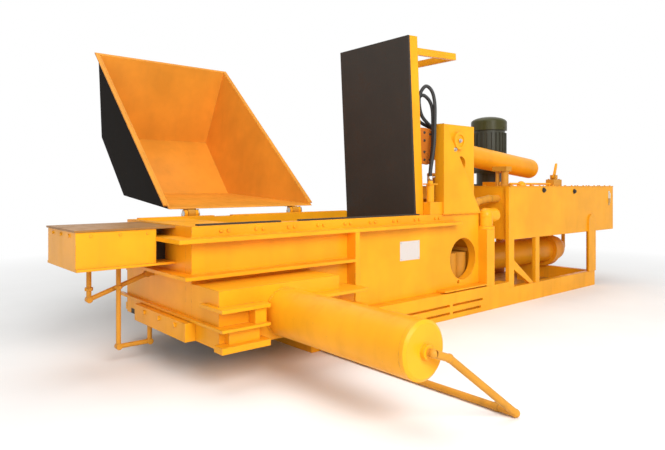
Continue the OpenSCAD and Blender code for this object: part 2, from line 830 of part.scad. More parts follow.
module pump_pipes() {
  zc = top_z + tank_t;
  xd = body_x + 50;
  xp = pack_x + 90;
  c = [[up_x1 + 54, -600, wall_top], [up_x1 + 54, -600, wall_top + 60], [body_x + 90, -600, wall_top + 130],
    [body_x + 310, -600, wall_top + 160], [pack_x, -600, wall_top + 160]];
  color(orange) {
    for (k = [0, 1]) {
      x = pack_x + 340 + k * 110;
      y = 60 + k * 90;
      z = zc + 90 + k * 60;
      pts = [[x, y, zc], [x, y, z], [xd, y, z], [xd, y, wall_top]];
      for (i = [0 : 2]) pipe(pts[i], pts[i + 1], 24);
      for (i = [1, 2]) translate(pts[i]) sphere(r = 28);
      cz(x, y, zc, zc + 30, 42);
      cz(xd, y, wall_top, wall_top + 40, 42);
    }
    for (i = [0 : 3]) pipe(c[i], c[i + 1], 46);
    for (i = [1 : 3]) translate(c[i]) sphere(r = 50);
    cz(xp, -540, zc, zc + 190, 26);
    cz(xp, -650, zc, zc + 190, 46);
    cz(xp, -650, zc, zc + 30, 58);
    bx(xp - 60, xp + 60, -710, -500, zc + 189, zc + 250);
  }
}

module valve_block() {
  z = top_z + tank_t;
  color(dark) {
    bx(lever_x - 110, lever_x + 110, lever_y - 60, lever_y + 60, z, z + 90);
    for (s = [-1, 1]) difference() {
      bx(lever_x - 30, lever_x + 30, lever_y + s * 31 - 10, lever_y + s * 31 + 10, z + 90, z + 155);
      cy(lever_x, lever_y + s * 31 - 11, lever_y + s * 31 + 11, z + 125, 10 + run);
    }
    for (x = [-80, 80]) for (y = [-35, 35])
      translate([lever_x + x, lever_y + y, z + 90]) cylinder(r = 12, h = 10, $fn = 6);
  }
}

module control_lever() {
  z = top_z + tank_t + 125;
  color(yellow) translate([lever_x, lever_y, z]) rotate([0, 20, 0]) {
    hull() {
      cy(0, -9, 9, 0, 27);
      cy(0, -9, 9, 190, 18);
    }
    cy(0, -20, 20, 0, 24);
    cy(0, -45, 45, 0, 10);
  }
}

// Closed body of the hopper, inset by t and pushed out through the mouth when t is above zero
module hopper_body(t) {
  c = cos(mouth_a);
  n = sin(mouth_a);
  out = t > 0 ? 3 : 0;
  u0 = t * 1.6;
  u1 = mouth_l - u0;
  f1 = fold1 - lip;
  f2 = fold2 - lip;
  side = [[half_m, u0 * c - out * n, u0 * n + out * c], [half_m, u1 * c - out * n, u1 * n + out * c],
    [half_1, f1[0] - t, f1[1]], [half_2, f2[0] - t * 0.4, f2[1] + t]];
  pts = [for (k = [-1, 1]) for (p = side) [k * (p[0] - t), p[1], p[2]]];
  polyhedron(points = pts, faces = [[0, 2, 1], [0, 3, 2], [4, 5, 6], [4, 6, 7],
    [0, 1, 5, 4], [1, 2, 6, 5], [2, 3, 7, 6], [3, 0, 4, 7]]);
}

module hopper_shell() {
  color(yellow) {
    translate([hop_xc, lip[0], lip[1]]) difference() {
      hopper_body(0);
      hopper_body(hopper_t);
    }
    on_mouth() difference() {
      bx(-half_m - rim_w, half_m + rim_w, 60, mouth_l + rim_w / 2, -16, -2);
      bx(-half_m + 6, half_m - 6, 59, mouth_l - 6, -17, -1);
    }
  }
}

module hopper_knuckles() {
  color(orange) {
    for (x = hop_pin_x) difference() {
      union() {
        on_hopper_floor() bx(x - 70, x + 70, 95, 480, -14, 0);
        on_hopper_floor() bx(x - 34, x + 34, 5, 110, -38, -10);
        cx(x - 40, x + 40, hop_y, hop_z, 45);
      }
      cx(x - 41, x + 41, hop_y, hop_z, hop_pin_r + run);
    }
    on_hopper_floor() {
      bx(hc_x - 120, hc_x + 120, hc_s - 160, hc_s + 160, -14, 0);
      for (k = [-1, 1]) bx(hc_x + k * 63 - 15, hc_x + k * 63 + 15, hc_s - 60, hc_s + 60, -hc_drop - 52, -13);
    }
  }
  color(steel) on_hopper_floor() for (k = [-1, 1])
    cx(hc_x + k * 63 + (k > 0 ? 15 : -33), hc_x + k * 63 + (k > 0 ? 33 : -15), hc_s, -hc_drop, 38);
}

module hopper_brackets() {
  color(yellow) for (x = hop_pin_x) for (k = [-1, 1]) difference() {
    union() {
      bx(x + k * 60 - 18, x + k * 60 + 18, ow, ow + 75, fl_z + fl_t, hop_z);
      cx(x + k * 60 - 18, x + k * 60 + 18, hop_y, hop_z, 38);
    }
    cx(x + k * 60 - 19, x + k * 60 + 19, hop_y, hop_z, hop_pin_r);
  }
}

module hopper_pins() {
  color(steel) for (x = hop_pin_x) {
    cx(x - 78, x + 78, hop_y, hop_z, hop_pin_r);
    cx(x + 78, x + 90, hop_y, hop_z, 42);
  }
}

module hopper_outrigger() {
  color(yellow) {
    bx(hc_x - 110, hc_x + 110, fw, hc_y + 120, 0, hc_z - 160);
    for (k = [-1, 1]) bx(hc_x + k * 58 - 14, hc_x + k * 58 + 14, hc_y - 80, hc_y + 80, hc_z - 160, hc_z + 60);
  }
  color(steel) cx(hc_x - 95, hc_x + 95, hc_y, hc_z, 30);
}

module hopper_barrel() {
  color(yellow) on_hopper_cylinder() difference() {
    union() {
      translate([hc_x, 0, 0]) cx(-40, 40, 0, 0, 62);
      cy(hc_x, 40, 130, 0, 38);
      cy(hc_x, 115, hc_front, 0, hc_r);
      cy(hc_x, hc_front - 60, hc_front, 0, hc_r + 8);
    }
    cx(hc_x - 41, hc_x + 41, 0, 0, 30 + run);
    cy(hc_x, 140, hc_front - 50, 0, hc_bore);
    cy(hc_x, hc_front - 60, hc_front + 1, 0, hc_rod_r + run);
  }
}

module hopper_rod() {
  color(steel) on_hopper_cylinder() difference() {
    union() {
      cy(hc_x, 200, hc_d - 20, 0, hc_rod_r);
      cy(hc_x, 150, 200, 0, hc_bore - run);
      cx(hc_x - 40, hc_x + 40, hc_d, 0, hc_eye);
    }
    cx(hc_x - 41, hc_x + 41, hc_d, 0, 30);
  }
}

module gate() {
  y1 = gate_y + gate_t;
  color(dark) bx(gate_x0, gate_x1, gate_y, y1, gate_z0, gate_z1);
  color(orange) {
    for (x = [gate_x0 + 120 : 240 : gate_x1 - 100]) bx(x, x + 30, y1, y1 + 70, gate_z0 + 60, gate_z1 - 60);
    bx(gate_x1 - 60, gate_x1, y1, gc_y + 45, axis_z - 45, axis_z + 45);
  }
  color(steel) {
    cx(gate_x1, gc_x0 + 80, gc_y, axis_z, 28);
    cx(gc_x0 + 80, gc_x0 + 110, gc_y, axis_z, gc_r - 16 - run);
  }
}

module gate_rails() {
  y1 = gate_y + gate_t + 2;
  color(yellow) {
    bx(gate_x0, rail_x1, ow, y1 + 28, gate_z1 + 2, gate_z1 + 2 + rail_h);
    bx(gate_x0, rail_x1, y1, y1 + 28, gate_z1 - 40, gate_z1 + 2);
    bx(gate_x0, rail_x1, ow, y1 + 28, base_h, gate_z0 - 2);
    bx(gate_x0, rail_x1, y1, y1 + 28, gate_z0 - 2, gate_z0 + 40);
  }
}

module gate_barrel() {
  color(yellow) difference() {
    union() {
      cx(gc_x0, gc_x1, gc_y, axis_z, gc_r);
      for (x = [gc_x0 + 60, gc_x1 - 160]) bx(x, x + 90, ow, gc_y - gc_r + 12, axis_z - 55, axis_z + 55);
    }
    cx(gc_x0 + 40, gc_x1 - 40, gc_y, axis_z, gc_r - 16);
    cx(gc_x0 - 1, gc_x0 + 50, gc_y, axis_z, 28 + run);
  }
}

module hose_near() {
  color(dark) hose(hose_a, hose_r, 3, 10);
}

module hose_far() {
  color(dark) hose(hose_b, hose_r, 3, 10);
}

base_frame();
base_tray();
box_floor();
near_wall();
far_wall();
end_wall();
ram_roof();
chamber_cover();
upper_ring();
mid_ring();
shear_blades();
blade_bolts();
body_end_plate();
end_beam();
side_housing();
side_barrel();
side_end_cap();
side_pipe();
side_ram();
side_rod();
lock_housing();
lock_cover();
lock_cylinder();
lock_bolt();
lock_pipes();
lid_shell();
lid_wear_plate();
lid_shaft();
lid_levers();
lid_hoop();
uprights();
lid_barrel();
lid_rod();
hose_near();
hose_far();
main_barrel();
main_end_cap();
main_rod();
main_ram();
tank_shell();
tank_cover();
tank_gauge();
tank_plugs();
pack_posts();
motor_body();
motor_cowl();
bell_housing();
pump_pipes();
valve_block();
control_lever();
hopper_shell();
hopper_knuckles();
hopper_brackets();
hopper_pins();
hopper_outrigger();
hopper_barrel();
hopper_rod();
gate();
gate_rails();
gate_barrel();
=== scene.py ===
"""Scrap metal baling press, dressed on its CAD frame.

Paint, wear, bolts, welds, hoses and a plain stage.
"""

import json
import math

import bpy
import bmesh
from mathutils import Matrix, Vector

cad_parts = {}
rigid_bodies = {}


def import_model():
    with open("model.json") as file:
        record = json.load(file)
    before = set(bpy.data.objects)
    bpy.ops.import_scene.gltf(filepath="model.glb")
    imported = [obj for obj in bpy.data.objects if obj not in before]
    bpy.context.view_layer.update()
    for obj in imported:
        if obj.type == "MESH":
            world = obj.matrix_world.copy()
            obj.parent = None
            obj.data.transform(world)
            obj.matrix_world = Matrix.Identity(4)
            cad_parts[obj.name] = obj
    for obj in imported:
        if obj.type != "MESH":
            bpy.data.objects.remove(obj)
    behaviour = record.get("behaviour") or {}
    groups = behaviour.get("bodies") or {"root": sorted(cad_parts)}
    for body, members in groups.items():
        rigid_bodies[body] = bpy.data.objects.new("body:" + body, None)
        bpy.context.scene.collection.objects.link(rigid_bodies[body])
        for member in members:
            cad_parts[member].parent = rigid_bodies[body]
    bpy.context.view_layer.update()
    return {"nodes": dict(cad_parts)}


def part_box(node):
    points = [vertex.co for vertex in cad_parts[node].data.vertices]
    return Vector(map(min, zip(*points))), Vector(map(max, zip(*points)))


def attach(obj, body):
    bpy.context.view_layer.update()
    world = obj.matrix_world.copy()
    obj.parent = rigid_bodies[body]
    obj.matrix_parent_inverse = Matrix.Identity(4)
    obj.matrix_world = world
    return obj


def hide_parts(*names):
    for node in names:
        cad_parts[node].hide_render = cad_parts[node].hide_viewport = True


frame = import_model()
NODES = frame["nodes"]

bl_info = {
    "name": "Scrap metal baling press",
    "version": (1, 0, 0),
    "blender": (4, 5, 0),
    "location": "View3D > Sidebar > Baling press",
    "description": "Paints and details a hydraulic baling press on its CAD frame",
    "category": "Object",
}

# Camera at the photograph's place: millimetres, share of the picture's width, metres, degrees
LENS = 30.99
SENSOR = 36.0
SHIFT_Y = -0.0585
EYE_PLACE = (-3.80, -4.82, 1.5)
EYE_HEADING = -40.56
SIGHT_END = 200.0

# Floor: half its width, and where the shade round the press gives way to white
FLOOR_HALF = 60.0
SHADE_MIDDLE = (1.0, 0.0, 0.0)
SHADE_END = (3.5, 9.0)
WHITE = (1.0, 1.0, 1.0, 1.0)

# Lamps as name, place, aim, diameter in metres and watts, and the world's share of light
LAMPS = [
    ("key", (-2.5, -11.0, 7.0), (0.5, 0.0, 1.0), 8.0, 1300.0),
    ("fill", (-9.5, -6.0, 3.6), (0.0, 0.0, 1.0), 6.0, 190.0),
    ("sky", (0.0, 2.0, 14.0), (0.8, 0.3, 0.0), 12.0, 740.0),
]
WORLD_LIGHT = 0.44

# Dirt in the paint and the primer that shows where it is chipped
GRIME = (0.10, 0.065, 0.03)
CHIP = (0.16, 0.10, 0.06)
MOTOR_GRIME = (0.12, 0.11, 0.09)
MOTOR_CHIP = (0.10, 0.09, 0.07)
COAT = 0.07
COAT_ROUGHNESS = 0.18

# CAD nodes by the finish that they get
FINISHED_NODES = {
    "yellow": [
        "base_frame", "near_wall", "far_wall", "end_wall", "chamber_cover", "upper_ring",
        "mid_ring", "body_end_plate", "end_beam", "side_housing", "side_barrel", "side_end_cap",
        "lock_housing", "lock_cylinder", "lid_shell", "lid_hoop", "uprights", "lid_barrel",
        "main_barrel", "main_end_cap", "tank_shell", "tank_cover", "pack_posts",
        "hopper_brackets", "hopper_outrigger", "hopper_barrel", "gate_rails", "gate_barrel",
        "control_lever", "blade_bolts",
    ],
    "hopper": ["hopper_shell"],
    "ochre": [
        "base_tray", "ram_roof", "main_ram", "side_pipe", "lock_pipes", "pump_pipes",
        "hopper_knuckles", "valve_block",
    ],
    "cover": ["lock_cover"],
    "olive": ["motor_body", "bell_housing"],
    "cowl": ["motor_cowl"],
    "scale": ["box_floor", "side_ram", "lock_bolt", "gate", "tank_plugs"],
    # lid_levers take the red orange that paints the yellow enamel's shade
    "lever": ["lid_levers"],
    "wear": ["lid_wear_plate"],
    "blade": ["shear_blades"],
    "bright": ["side_rod", "main_rod", "lid_rod", "lid_shaft", "hopper_rod", "hopper_pins"],
    "gauge": ["tank_gauge"],
}

# Middle of the space inside the hopper, and its mouth plane as a point and a normal
HOPPER_HEART = (-0.350, 1.85, 2.05)
MOUTH_POINT = (-0.350, 0.680, 1.263)
MOUTH_NORMAL = (0.0, -0.6771, 0.7359)
RIM_DEPTH = (-0.024, -0.020)

# Height at which the oil stands in the level gauge
OIL_LEVEL = (1.305, 1.312)

# Route points of the two lid hoses, in metres, the same as the CAD hoses' routes
HOSE_ROUTES = {
    "hose_near": [
        (1.225, -0.645, 1.560), (1.225, -0.645, 1.670), (1.290, -0.640, 1.950),
        (1.330, -0.620, 2.200), (1.365, -0.590, 2.450), (1.365, -0.545, 2.600),
        (1.305, -0.500, 2.650), (1.235, -0.470, 2.520), (1.275, -0.470, 2.320),
        (1.400, -0.505, 2.190), (1.440, -0.535, 2.130), (1.440, -0.535, 2.060),
    ],
    "hose_far": [
        (1.275, -0.600, 1.560), (1.275, -0.600, 1.670), (1.320, -0.595, 1.950),
        (1.345, -0.580, 2.200), (1.365, -0.550, 2.400), (1.355, -0.500, 2.510),
        (1.295, -0.450, 2.550), (1.230, -0.415, 2.430), (1.275, -0.415, 2.270),
        (1.440, -0.470, 2.180), (1.510, -0.535, 2.130), (1.510, -0.535, 2.060),
    ],
}
HOSE_STEPS = 14
HOSE_SIDES = 24
FERRULE_LENGTH = 0.055
FERRULE_SWELL = 0.64

# The lid's hinge and its lean when open
LID_HINGE = (1.220, 0.0, 0.851)
LID_LEAN = math.radians(3.2)

# Outline of the lid's side plates and their bolts, X and Z with the lid open
SIDE_PLATE = [
    (1.158, 1.760), (1.290, 1.745), (1.350, 1.760), (1.380, 1.805), (1.384, 1.870),
    (1.356, 1.925), (1.348, 1.960), (1.360, 2.000), (1.384, 2.050), (1.380, 2.115),
    (1.345, 2.155), (1.270, 2.165), (1.138, 2.165),
]
SIDE_PLATE_BOLTS = [
    (1.235, 1.800), (1.330, 1.800), (1.235, 1.890), (1.235, 2.020), (1.335, 2.095), (1.235, 2.110),
]
SIDE_PLATE_INNER = 0.520
SIDE_PLATE_OUTER = 0.545

# Grease points of the lid cylinder's bearings, at X, distance from the middle and Z
GREASE_POINTS = [(1.680, 0.715, 2.030), (1.600, 0.700, 1.925)]

# The bare plate on the near wall, as X and Z ranges
BARE_PLATE_X = (0.694, 1.007)
BARE_PLATE_Z = (0.703, 0.908)


# Shader expressions

class Sock:
    """One output socket of a material, so that values can be combined as Python expressions."""

    def __init__(self, tree, socket):
        self.tree = tree
        self.socket = socket

    def _math(self, operation, a, b):
        node = self.tree.nodes.new("ShaderNodeMath")
        node.operation = operation
        for index, value in enumerate((a, b)):
            if isinstance(value, Sock):
                self.tree.links.new(value.socket, node.inputs[index])
            else:
                node.inputs[index].default_value = value
        return Sock(self.tree, node.outputs[0])

    def __add__(self, other):
        return self._math("ADD", self, other)

    __radd__ = __add__

    def __sub__(self, other):
        return self._math("SUBTRACT", self, other)

    def __rsub__(self, other):
        return self._math("SUBTRACT", other, self)

    def __mul__(self, other):
        return self._math("MULTIPLY", self, other)

    __rmul__ = __mul__

    def clamp(self):
        node = self.tree.nodes.new("ShaderNodeClamp")
        self.tree.links.new(self.socket, node.inputs[0])
        return Sock(self.tree, node.outputs[0])


def make_node(tree, kind, settings=None, out=0, **inputs):
    """Adds a node, sets it up, fills its sockets and returns the wanted output.

    A socket is named, or is i and its number where names repeat.
    """
    node = tree.nodes.new(kind)
    for key, value in (settings or {}).items():
        setattr(node, key, value)
    for key, value in inputs.items():
        numbered = key[0] == "i" and key[1:].isdigit()
        socket = node.inputs[int(key[1:]) if numbered else key]
        if isinstance(value, Sock):
            tree.links.new(value.socket, socket)
        else:
            socket.default_value = value
    return Sock(tree, node.outputs[out])


def new_material(name):
    """A new material with its tree and its shader."""
    material = bpy.data.materials.new(name)
    material.use_nodes = True
    tree = material.node_tree
    shader = next(n for n in tree.nodes if n.type == "BSDF_PRINCIPLED")
    return material, tree, shader


def link(tree, value, shader, socket):
    tree.links.new(value.socket, shader.inputs[socket])


def mix(tree, factor, a, b):
    """Colour a where factor is 0 and colour b where it is 1."""
    node = tree.nodes.new("ShaderNodeMix")
    node.data_type = "RGBA"
    for index, value in ((0, factor), (6, a), (7, b)):
        if isinstance(value, Sock):
            tree.links.new(value.socket, node.inputs[index])
        elif index:
            node.inputs[index].default_value = (*value, 1.0)
        else:
            node.inputs[index].default_value = value
    return Sock(tree, node.outputs[2])


def noise(tree, place, scale, detail=4.0, rough=0.55):
    return make_node(tree, "ShaderNodeTexNoise", Vector=place, Scale=scale, Detail=detail,
                     Roughness=rough)


def ramp(tree, value, low, high):
    """0 below low, 1 above high."""
    return make_node(tree, "ShaderNodeMapRange", {"clamp": True}, i0=value, i1=low, i2=high)


def object_place(tree, stretch=(1.0, 1.0, 1.0)):
    place = make_node(tree, "ShaderNodeTexCoord", out="Object")
    return make_node(tree, "ShaderNodeMapping", Vector=place, Scale=stretch)


def sight(tree):
    """1 for what the camera sees, straight or in gloss and glass, 0 for the light on the press."""
    path = tree.nodes.new("ShaderNodeLightPath")
    camera, glossy, through = (Sock(tree, path.outputs["Is %s Ray" % kind])
                               for kind in ("Camera", "Glossy", "Transmission"))
    return (camera + glossy + through).clamp()


def axis_of(tree, vector, index):
    return make_node(tree, "ShaderNodeSeparateXYZ", out=index, i0=vector)


def dot(tree, a, b):
    return make_node(tree, "ShaderNodeVectorMath", {"operation": "DOT_PRODUCT"}, out="Value",
                     i0=a, i1=b)


def edge_wear(tree, radius):
    """A rounded normal for sharp plate edges, and a mask that is high along them."""
    soft = make_node(tree, "ShaderNodeBevel", {"samples": 4}, Radius=radius)
    flat = make_node(tree, "ShaderNodeNewGeometry", out="Normal")
    return soft, ramp(tree, 1.0 - dot(tree, soft, flat), 0.02, 0.25)


def hopper_outside(tree, place, normal):
    """1 on the outer faces of the hopper, 0 inside it and on its rim."""
    from_heart, from_mouth = (
        make_node(tree, "ShaderNodeVectorMath", {"operation": "SUBTRACT"}, i0=place, i1=point)
        for point in (HOPPER_HEART, MOUTH_POINT))
    outward = ramp(tree, dot(tree, from_heart, normal), 0.0, 0.02)
    return outward * (1.0 - ramp(tree, dot(tree, from_mouth, MOUTH_NORMAL), *RIM_DEPTH))


def near_side(tree, place, normal):
    """1 on the operator's side of the press, 0 on the hopper's side."""
    return 1.0 - ramp(tree, axis_of(tree, place, 1), -0.05, 0.05)


def enamel(name, colour, grime, wear, gloss, edge, grime_amount, second=None, shine=0.17):
    """Machine enamel: slow drift, dust on top faces, grime low down, chipped edges, fine peel.

    A second finish is a mask function and the matte colour that goes where the mask is 1.
    """
    material, tree, shader = new_material(name)
    place = object_place(tree)
    drift = noise(tree, place, 1.7, 3.0)
    streak = noise(tree, object_place(tree, (9.0, 9.0, 0.7)), 1.0, 5.0, 0.6)
    fine = noise(tree, place, 26.0, 5.0, 0.62)
    height = axis_of(tree, place, 2)
    normal = make_node(tree, "ShaderNodeTexCoord", out="Normal")
    up = axis_of(tree, normal, 2)
    soft, rim = edge_wear(tree, edge)
    deep = tuple(c * 0.88 for c in colour)
    pale = tuple(min(1.0, c * 1.05) for c in colour)
    body = mix(tree, ramp(tree, drift, 0.36, 0.66), deep, pale)
    rough = gloss + fine * 0.10
    if second:
        matte = second[0](tree, place, normal)
        body = mix(tree, matte, body, second[1])
        rough = rough + matte * 0.45
        link(tree, (1.0 - matte) * COAT, shader, "Coat Weight")
    else:
        shader.inputs["Coat Weight"].default_value = COAT
    low = (1.0 - ramp(tree, height, 0.02, 0.55)) * 0.55
    dust = ramp(tree, up, 0.6, 0.95) * 0.55
    dirt = ramp(tree, streak, 0.50, 0.78) * (0.30 + low + dust)
    body = mix(tree, (dirt * grime_amount).clamp(), body, grime)
    chips = (rim * ramp(tree, fine, 0.47, 0.60)).clamp()
    body = mix(tree, chips * 0.75, body, wear)
    specks = ramp(tree, noise(tree, place, 55.0, 2.0), 0.70, 0.76)
    body = mix(tree, specks * 0.2, body, wear)
    link(tree, body, shader, "Base Color")
    link(tree, rough + dirt * 0.30 + chips * 0.15, shader, "Roughness")
    shader.inputs["Specular IOR Level"].default_value = shine
    shader.inputs["Coat Roughness"].default_value = COAT_ROUGHNESS
    peel = noise(tree, place, 140.0, 2.0)
    bump = make_node(tree, "ShaderNodeBump", Strength=0.10, Distance=0.004,
                     Height=peel * 0.5 + drift * 0.8 - chips * 0.9, Normal=soft)
    link(tree, bump, shader, "Normal")
    return material


def scale_steel(name, colour, rust, polish, age=1.0):
    """Dark plate steel: scale, rust blooms and rubbed scratches, less of each at a low age."""
    material, tree, shader = new_material(name)
    place = object_place(tree)
    patch = noise(tree, place, 3.2, 6.0, 0.6)
    fine = noise(tree, place, 34.0, 5.0, 0.65)
    scratch = noise(tree, object_place(tree, (60.0, 60.0, 2.0)), 1.0, 3.0, 0.7)
    soft, rim = edge_wear(tree, 0.006)
    deep = tuple(c * (1.0 - 0.4 * age) for c in colour)
    body = mix(tree, ramp(tree, patch, 0.35, 0.7), deep, colour)
    blooms = ramp(tree, patch * 0.6 + fine * 0.5, 0.58, 0.70)
    body = mix(tree, blooms * (0.55 * age), body, rust)
    rubbed = (ramp(tree, scratch, 0.60, 0.72) * 0.5 + rim * 0.5).clamp()
    body = mix(tree, rubbed * (0.5 * age), body, polish)
    link(tree, body, shader, "Base Color")
    link(tree, (rubbed * 0.6 + 0.15).clamp(), shader, "Metallic")
    link(tree, 0.62 + blooms * 0.2 - rubbed * 0.22, shader, "Roughness")
    shader.inputs["Specular IOR Level"].default_value = 0.3
    bump = make_node(tree, "ShaderNodeBump", Strength=0.25, Distance=0.004, Height=fine + patch,
                     Normal=soft)
    link(tree, bump, shader, "Normal")
    return material


def ground_steel(name, colour):
    """Ground and polished rods and pins with an oil film."""
    material, tree, shader = new_material(name)
    place = object_place(tree)
    turn = noise(tree, object_place(tree, (4.0, 90.0, 90.0)), 1.0, 3.0)
    film = noise(tree, place, 5.0, 4.0)
    soft, _ = edge_wear(tree, 0.003)
    body = mix(tree, ramp(tree, film, 0.45, 0.75), colour, tuple(c * 0.62 for c in colour))
    link(tree, body, shader, "Base Color")
    shader.inputs["Metallic"].default_value = 1.0
    link(tree, 0.20 + turn * 0.16 + film * 0.08, shader, "Roughness")
    bump = make_node(tree, "ShaderNodeBump", Strength=0.05, Distance=0.002, Height=turn,
                     Normal=soft)
    link(tree, bump, shader, "Normal")
    return material


def rubber(name, colour):
    """Wire braid hose cover: fine wrap marks, dusty."""
    material, tree, shader = new_material(name)
    place = object_place(tree)
    dust = noise(tree, place, 14.0, 4.0)
    bands = {"wave_type": "BANDS", "bands_direction": "DIAGONAL"}
    wrap = make_node(tree, "ShaderNodeTexWave", bands, out=1, Vector=place, Scale=60.0,
                     Distortion=0.6)
    body = mix(tree, ramp(tree, dust, 0.5, 0.8) * 0.35, colour, (0.09, 0.085, 0.075))
    link(tree, body, shader, "Base Color")
    link(tree, 0.48 + dust * 0.2, shader, "Roughness")
    bump = make_node(tree, "ShaderNodeBump", Strength=0.25, Distance=0.002, Height=wrap)
    link(tree, bump, shader, "Normal")
    return material


def clear_plastic(name, colour):
    """Level gauge: yellowed clear tube in a pressed holder."""
    material, tree, shader = new_material(name)
    place = object_place(tree)
    cloud = noise(tree, place, 22.0, 3.0)
    level = ramp(tree, axis_of(tree, place, 2), *OIL_LEVEL)
    oil = tuple(c * k for c, k in zip(colour, (0.75, 0.5, 0.2)))
    body = mix(tree, level, oil, colour)
    body = mix(tree, ramp(tree, cloud, 0.55, 0.8) * 0.3, body, (0.2, 0.17, 0.1))
    link(tree, body, shader, "Base Color")
    link(tree, 0.12 + cloud * 0.12, shader, "Roughness")
    return material


def blank_plate(name, colour):
    """Bare white plate, a little yellowed and scuffed."""
    material, tree, shader = new_material(name)
    place = object_place(tree)
    age = noise(tree, place, 6.0, 4.0)
    scuff = noise(tree, object_place(tree, (70.0, 4.0, 20.0)), 1.0, 3.0)
    body = mix(tree, ramp(tree, age, 0.45, 0.75) * 0.35, colour, (0.62, 0.55, 0.42))
    body = mix(tree, ramp(tree, scuff, 0.66, 0.74) * 0.3, body, (0.4, 0.38, 0.34))
    link(tree, body, shader, "Base Color")
    link(tree, 0.30 + age * 0.2, shader, "Roughness")
    return material


# Geometry Nodes for what repeats

# A bolt's washer and lift as shares of its head, and how a weld's beads vary
WASHER_WIDTH = 1.35
WASHER_HEIGHT = 0.28
HEAD_RISE = 0.62
BEAD_SWELL = (0.75, 1.2)


def mesh_object(name, verts, faces=()):
    mesh = bpy.data.meshes.new(name)
    mesh.from_pydata([tuple(v) for v in verts], [], list(faces))
    obj = bpy.data.objects.new(name, mesh)
    bpy.context.scene.collection.objects.link(obj)
    return obj


class Tree:
    """A Geometry Nodes tree under construction."""

    def __init__(self, name, sizes):
        self.group = bpy.data.node_groups.new(name, "GeometryNodeTree")
        self.ids = {}
        face = self.group.interface
        face.new_socket("Geometry", in_out="INPUT", socket_type="NodeSocketGeometry")
        for label, (kind, _) in sizes.items():
            socket = face.new_socket(label, in_out="INPUT", socket_type=kind)
            self.ids[label] = socket.identifier
        face.new_socket("Geometry", in_out="OUTPUT", socket_type="NodeSocketGeometry")
        self.source = self.group.nodes.new("NodeGroupInput")
        self.sink = self.group.nodes.new("NodeGroupOutput")

    def add(self, kind, settings=None, **inputs):
        node = self.group.nodes.new(kind)
        for key, value in (settings or {}).items():
            setattr(node, key, value)
        for key, value in inputs.items():
            socket = node.inputs[key.replace("_", " ")]
            if isinstance(value, bpy.types.NodeSocket):
                self.group.links.new(value, socket)
            else:
                socket.default_value = value
        return node

    def size(self, label):
        return self.source.outputs[label]

    def finish(self, geometry, material):
        real = self.add("GeometryNodeRealizeInstances", Geometry=geometry)
        paint = self.add("GeometryNodeSetMaterial", Geometry=real.outputs[0])
        paint.inputs["Material"].default_value = material
        self.group.links.new(paint.outputs[0], self.sink.inputs[0])


def evaluate(obj, tree, sizes):
    """Runs the tree on obj and keeps the result as obj's plain mesh."""
    modifier = obj.modifiers.new("Nodes", "NODES")
    modifier.node_group = tree.group
    for label, (_, value) in sizes.items():
        modifier[tree.ids[label]] = value
    graph = bpy.context.evaluated_depsgraph_get()
    mesh = bpy.data.meshes.new_from_object(obj.evaluated_get(graph), depsgraph=graph)
    obj.modifiers.remove(modifier)
    old = obj.data
    obj.data = mesh
    bpy.data.meshes.remove(old)
    mesh.name = obj.name
    return obj


def points_with_facing(name, places):
    """Loose points, each with the direction that it faces."""
    obj = mesh_object(name, [p for p, _ in places])
    facing = obj.data.attributes.new("facing", "FLOAT_VECTOR", "POINT")
    facing.data.foreach_set("vector", [c for _, d in places for c in d])
    return obj


def bolt_heads(name, places, radius, height, body, material):
    """Hexagon heads on washers, one at each place, standing along its direction."""
    sizes = {
        "Head Radius": ("NodeSocketFloat", radius),
        "Head Height": ("NodeSocketFloat", height),
        "Washer Radius": ("NodeSocketFloat", radius * WASHER_WIDTH),
        "Washer Height": ("NodeSocketFloat", height * WASHER_HEIGHT),
    }
    tree = Tree(name + "_tree", sizes)
    head = tree.add("GeometryNodeMeshCylinder", {"fill_type": "NGON"}, Vertices=6,
                    Radius=tree.size("Head Radius"), Depth=tree.size("Head Height"))
    washer = tree.add("GeometryNodeMeshCylinder", {"fill_type": "NGON"}, Vertices=20,
                      Radius=tree.size("Washer Radius"), Depth=tree.size("Washer Height"))
    rise = tree.add("ShaderNodeMath", {"operation": "MULTIPLY"})
    tree.group.links.new(tree.size("Head Height"), rise.inputs[0])
    rise.inputs[1].default_value = HEAD_RISE
    lift = tree.add("ShaderNodeCombineXYZ", Z=rise.outputs[0])
    raised = tree.add("GeometryNodeTransform", Geometry=head.outputs["Mesh"],
                      Translation=lift.outputs[0])
    both = tree.add("GeometryNodeJoinGeometry")
    tree.group.links.new(raised.outputs[0], both.inputs[0])
    tree.group.links.new(washer.outputs["Mesh"], both.inputs[0])
    facing = tree.add("GeometryNodeInputNamedAttribute", {"data_type": "FLOAT_VECTOR"},
                      Name="facing")
    turn = tree.add("FunctionNodeAlignRotationToVector", {"axis": "Z"}, Vector=facing.outputs[0])
    heads = tree.add("GeometryNodeInstanceOnPoints", Points=tree.source.outputs["Geometry"],
                     Instance=both.outputs[0], Rotation=turn.outputs[0])
    tree.finish(heads.outputs[0], material)
    obj = evaluate(points_with_facing(name, places), tree, sizes)
    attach(obj, body)
    return obj


